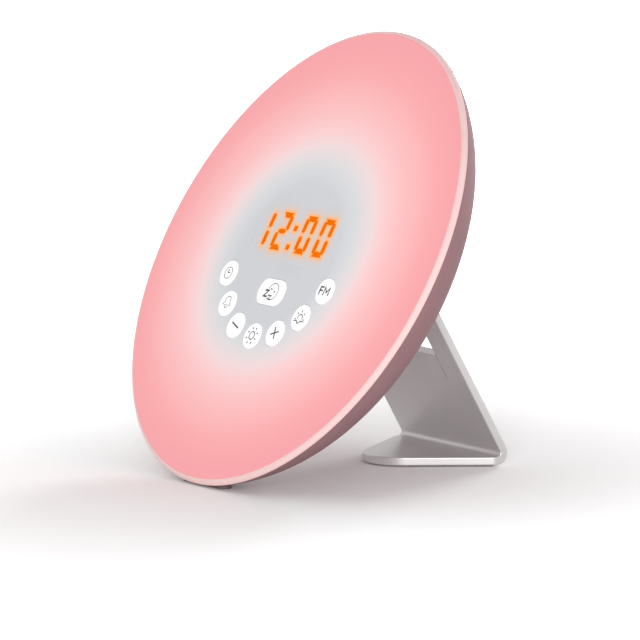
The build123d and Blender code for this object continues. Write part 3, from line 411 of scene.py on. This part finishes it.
def bar(side):
    """Top or bottom stroke of a digit, at side 1 or -1, as a grid of q (across) by s (along): a
    trapezoid with up = side (b - t q) and half its length a - c q."""
    q, s = np.meshgrid(np.linspace(0, 1, 5), np.linspace(-1, 1, 9), indexing="ij")
    return np.stack([s * (HALF_WIDTH - BAR_SHORT * q), side * (HALF_LENGTH - BAR_THICK * q)], -1)


def lens(length, width, power):
    """Lens of a length (along y) and width: at s from -1 to 1 along it, its half width is
    w/2 (1 - |s|^p)^(1/p). The steps of s shorten towards the tips and stop just before them."""
    q, s = np.meshgrid(np.linspace(-1, 1, 5), np.sin(np.linspace(-1.5, 1.5, 17)), indexing="ij")
    return np.stack([q * width / 2 * (1 - np.abs(s) ** power) ** (1 / power), s * length / 2], -1)


def post(side, level):
    """Upright stroke, on side 1 or -1, of the upper or lower half."""
    middle = (side * POST_SIDE, level * (POST_LOW + POST_HIGH) / 2)
    return lens(POST_HIGH - POST_LOW, POST_WIDTH, 4) + middle


def dash():
    """Middle stroke, a short lens lying on its side."""
    return lens(DASH_LENGTH, DASH_THICK, 3)[..., ::-1]


def dot(width, height):
    """Rectangular dot of the colon."""
    q, s = np.meshgrid(np.linspace(-0.5, 0.5, 4), np.linspace(-0.5, 0.5, 4), indexing="ij")
    return np.stack([width * q, height * s], -1)


ROUND = [bar(1), bar(-1), post(1, 1), post(1, -1), post(-1, 1), post(-1, -1)]
strokes = [piece + (ONE, DIGIT_UP) for piece in (post(1, 1), post(1, -1))]
strokes += [piece + (TWO, DIGIT_UP) for piece in (bar(1), post(1, 1), dash(), post(-1, -1), bar(-1))]
strokes += [piece + (middle, DIGIT_UP) for middle in (ZERO_LEFT, ZERO_RIGHT) for piece in ROUND]
strokes += [dot(*COLON_SIDE) + place for place in COLON]


def on_face(flat, lift):
    """Flat millimetres on the lamp's face as world points, lift millimetres over the dome."""
    x, y = flat[..., 0] * MM, flat[..., 1] * MM
    return from_lamp(np.stack([x, y, dome(x, y) + lift * MM], -1))


lit_stroke = Finish("lit_stroke").set(Roughness=0.5, Specular_IOR_Level=0.0, Emission_Strength=0.94,
                                      Base_Color=(0.01, 0.002, 0.0, 1.0))
stroke_cloud = lit_stroke.spread(lit_stroke.noise(700.0, 2.0), 0.0, 1.0)
stroke_shade = lit_stroke.mix(stroke_cloud, linear(248, 110, 4), linear(255, 120, 8))
lit_stroke.link(stroke_shade, "Emission Color")
points, faces = joined([tile(on_face(grid, STROKE_LIFT), on_face(grid, -STROKE_SUNK))
                        for grid in strokes])
add_piece("display_light", points, faces, "lamp", lit_stroke.material, smooth=False)

# the digits' light in the face round them, as a skin of the same milky plastic with its own glow
SKIN_LEFT, SKIN_RIGHT, SKIN_LOW, SKIN_HIGH = -29, 25, -5, 20.5     # its border, millimetres
SKIN_GRID = (181, 86)                       # points across and up
SKIN_LIFT, SKIN_UNDER = 0.03, 0.02          # over the face inside, and under it at the border
SKIN_SLOPE = 3                              # from the border to its full height
SKIN_SUNK = 0.1                             # its underside, under the face
STROKE_SKIRT = 0.25                         # the glow starts to fade this far from a stroke's points
HALO = [(0.66, 0.8), (0.34, 2.6)]           # shares of a close and a wide glow, and their reaches

skin = np.stack(np.meshgrid(np.linspace(SKIN_LEFT, SKIN_RIGHT, SKIN_GRID[0]),
                            np.linspace(SKIN_LOW, SKIN_HIGH, SKIN_GRID[1]), indexing="ij"), -1)
near = np.full(skin.shape[:2], np.inf)
for grid in strokes:
    away = np.linalg.norm(skin[:, :, None] - grid.reshape(-1, 2), axis=-1)
    near = np.minimum(near, away.min(-1))
near = np.maximum(near - STROKE_SKIRT, 0)
halo = sum(share * np.exp(-(near / fall) ** 2) for share, fall in HALO)
border = np.minimum(np.minimum(skin[..., 0] - SKIN_LEFT, SKIN_RIGHT - skin[..., 0]),
                    np.minimum(skin[..., 1] - SKIN_LOW, SKIN_HIGH - skin[..., 1]))
rise = (SKIN_LIFT + SKIN_UNDER) * np.clip(border / SKIN_SLOPE, 0, 1) - SKIN_UNDER
points, faces = tile(on_face(skin, rise), on_face(skin, -SKIN_SUNK))
patch = add_piece("display_glow", points, faces, "lamp", lit_face.material)
patch.data.attributes.new("glow", "FLOAT", "POINT").data.foreach_set("value", np.tile(halo.ravel(), 2))

# ---------------------------------------------------------------- signs on the keys

INK_LIFT, INK_SUNK = 0.05, 0.03             # over and under the key's top
SHARPEST = 0.4                              # keeps the mitres of sharp corners short


def ribbon(path, width):
    """Band of a width along a path of (x, y): each point steps to both sides along its mitre, the
    bisector of the two neighbouring normals, by half the width over the cosine of half the turn."""
    path = np.asarray(path, float)
    run = np.diff(path, axis=0)
    run /= np.linalg.norm(run, axis=1, keepdims=True)
    side = np.stack([-run[:, 1], run[:, 0]], -1)
    before, after = np.vstack([side[:1], side]), np.vstack([side, side[-1:]])
    step = before + after
    step /= np.maximum((step * before).sum(1, keepdims=True), SHARPEST)
    return np.stack([path + step * width / 2, path - step * width / 2])


def arc(middle, radius, start, end, count):
    """A count of points round a middle, from start to end degrees."""
    turn = np.radians(np.linspace(start, end, count))
    return np.stack([middle[0] + radius * np.cos(turn), middle[1] + radius * np.sin(turn)], -1)


def ray(middle, angle, inner, outer):
    """Short radial line at an angle, between two radii."""
    way = np.array([math.cos(math.radians(angle)), math.sin(math.radians(angle))])
    return [middle + way * inner, middle + way * outer]


bell = np.vstack([[(-2.8, -0.8)], [(-2.0, -0.1)], arc((-0.05, 1.0), 1.75, 180, 0, 25), [(1.9, -0.1)],
                  [(2.8, -0.8)], [(-2.8, -0.8)], [(-2.0, -0.1)]])
# each sign as paths with their line widths, in millimetres about the key's middle
SIGNS = {
    "clock": [(arc((0, 0), 2.35, 0, 360, 64), 0.24), ([(-0.3, 1.5), (-0.3, 0.12), (1.0, 0.12)], 0.42)],
    "alarm": [(bell, 0.24), (arc((-0.05, -1.1), 0.9, 180, 360, 20), 0.26)],
    "minus": [([(-2.6, 0.85), (2.7, -1.0)], 0.62)],
    "brightness": [(arc((0, 0), 1.6, 0, 360, 48), 0.38)] + [
        (ray((0, 0), 22.5 + 45 * turn, 2.75, 3.55), 0.55) for turn in range(8)],
    "plus": [([(-2.35, -0.86), (2.35, 0.86)], 0.6), ([(-0.86, 2.35), (0.86, -2.35)], 0.6)],
    "sunrise": [(arc((0, -0.3), 1.5, -8, 188, 36), 0.36)] + [
        (ray((0, -0.3), turn, 2.3, 3.2), 0.42) for turn in (-10, 40, 90, 140, 190)] + [
        ([(-3.3, -1.5), (-1.4, -1.5), (-0.15, -2.6), (1.1, -1.5), (3.4, -1.5)], 0.4)],
    "radio": [([(-3.0, -1.7), (-3.0, 1.5), (-0.9, 1.5)], 0.62), ([(-3.0, 0.1), (-1.1, 0.1)], 0.62),
              ([(-0.1, -1.7), (-0.1, 1.6), (1.5, -0.5), (3.1, 1.6), (3.1, -1.7)], 0.62)],
    "snooze": [(arc((1.2, 0.2), 3.4, -120, 165, 64), 0.27), ([(-0.7, 1.3), (0.5, 0.9)], 0.42),
               ([(1.9, 0.4), (3.0, 0.1)], 0.42),
               ([(-3.8, 0.4), (-1.4, 0.4), (-3.8, -2.1), (-1.3, -2.1)], 0.78),
               ([(-0.7, -1.5), (1.6, -1.5), (-0.7, -3.0), (1.6, -3.0)], 0.66)],
}

ink = moulded("key_ink", (84, 84, 88), 0.6, depth=0.002, drift=0.06, Specular_IOR_Level=0.1)
for sign, lines in SIGNS.items():
    key = to_lamp(vertices_of(sign + "_key")) / MM
    middle, top = (key.min(0) + key.max(0))[:2] / 2, key[:, 2].max()
    tiles = []
    for path, width in lines:
        band = ribbon(path, width) + middle
        level = np.full(band.shape[:2] + (1,), top)
        tiles.append(tile(from_lamp(np.concatenate([band, level + INK_LIFT], -1) * MM),
                          from_lamp(np.concatenate([band, level - INK_SUNK], -1) * MM)))
    points, faces = joined(tiles)
    add_piece(sign + "_sign", points, faces, sign + "_key", ink.material, smooth=False)

# ---------------------------------------------------------------- floor, light and camera

HORIZON_LIGHT, OVERHEAD_LIGHT = 0.98, 0.34  # strength of the sky, low and high
FLOOR_SHADE = 0.8                           # of the light that the floor throws back
FLOOR_HALF = 7.0                            # half of its side, metres
# its shade to the camera, at distances from the object's middle in metres: low near the middle, a
# painted shadow under the object, and rising to white far off
FLOOR_SEEN = [(0.0, 0.9), (0.12, 1.2), (0.25, 1.6), (0.5, 2.0), (1.2, 2.4)]

# the sky is plain white to the camera; the light that it gives fades from the horizon up
world = bpy.data.worlds.new("studio")
scene.world = world
world.use_nodes = True
sky = Tree(world.node_tree)
background = sky.nodes["Background"]
background.inputs["Color"].default_value = WHITE
way = sky.add("ShaderNodeSeparateXYZ",
              {"Vector": sky.add("ShaderNodeTexCoord").outputs["Generated"]})
height = sky.add("ShaderNodeMapRange", {"Value": way.outputs["Z"], "To Min": HORIZON_LIGHT,
                                        "To Max": OVERHEAD_LIGHT})
level = sky.add("ShaderNodeMapRange", {"Value": sky.seen(), "To Min": height.outputs["Result"],
                                       "To Max": 1.0})
sky.links.new(level.outputs["Result"], background.inputs["Strength"])

ground = Finish("floor_white").set(Roughness=0.9, Specular_IOR_Level=0.0)
far = ground.add("ShaderNodeVectorMath", {0: ground.place()}, operation="LENGTH").outputs["Value"]
reach = FLOOR_SEEN[-1][0]
far = ground.add("ShaderNodeMath", {0: far, 1: reach}, operation="DIVIDE").outputs["Value"]
# the floor's colour to the camera: a painted shadow near the object, white further off
painted_shadow_then_white = ground.ramp(far, [(at / reach, shade) for at, shade in FLOOR_SEEN])
ground.link(ground.mix(ground.seen(), (FLOOR_SHADE,) * 3 + (1.0,), painted_shadow_then_white), "Base Color")
corners = np.array([(-1, -1), (1, -1), (1, 1), (-1, 1)]) * FLOOR_HALF
mesh = bpy.data.meshes.new("floor")
mesh.from_pydata(np.column_stack([corners, np.zeros(4)]).tolist(), [], [(0, 1, 2, 3)])
mesh.materials.append(ground.material)
put("floor", mesh)


def soft_box(name, place, size, power, target=(0.0, 0.0, 0.08)):
    """Square light of a size, in metres, that looks at a target."""
    lamp = bpy.data.lights.new(name, "AREA")
    lamp.size, lamp.energy = size, power
    box = put(name, lamp)
    box.location = place
    box.rotation_euler = (Vector(target) - Vector(place)).to_track_quat("-Z", "Y").to_euler()


soft_box("front_right", (2.5, -1.8, 0.6), 1.0, 60.0)
soft_box("back_left", (-1.5, 2.5, 1.0), 1.2, 42.0)

EYE = CENTRE + np.array([1925.1, -1205.3, 290.8]) * MM
# the camera's right, up and backward directions
EYE_AXES = [(0.53624, 0.84389, -0.01750), (-0.10699, 0.08852, 0.99031), (0.83726, -0.52917, 0.13775)]
SENSOR, FOCAL_LENGTH = 36.0, 342.44         # millimetres

camera = put("camera", bpy.data.cameras.new("camera"))
camera.data.sensor_width, camera.data.lens = SENSOR, FOCAL_LENGTH
camera.data.clip_start, camera.data.clip_end = 0.1, 60.0
camera.matrix_world = Matrix.Translation(EYE.tolist()) @ Matrix(EYE_AXES).transposed().to_4x4()
scene.camera = camera
scene.view_settings.view_transform = "Standard"
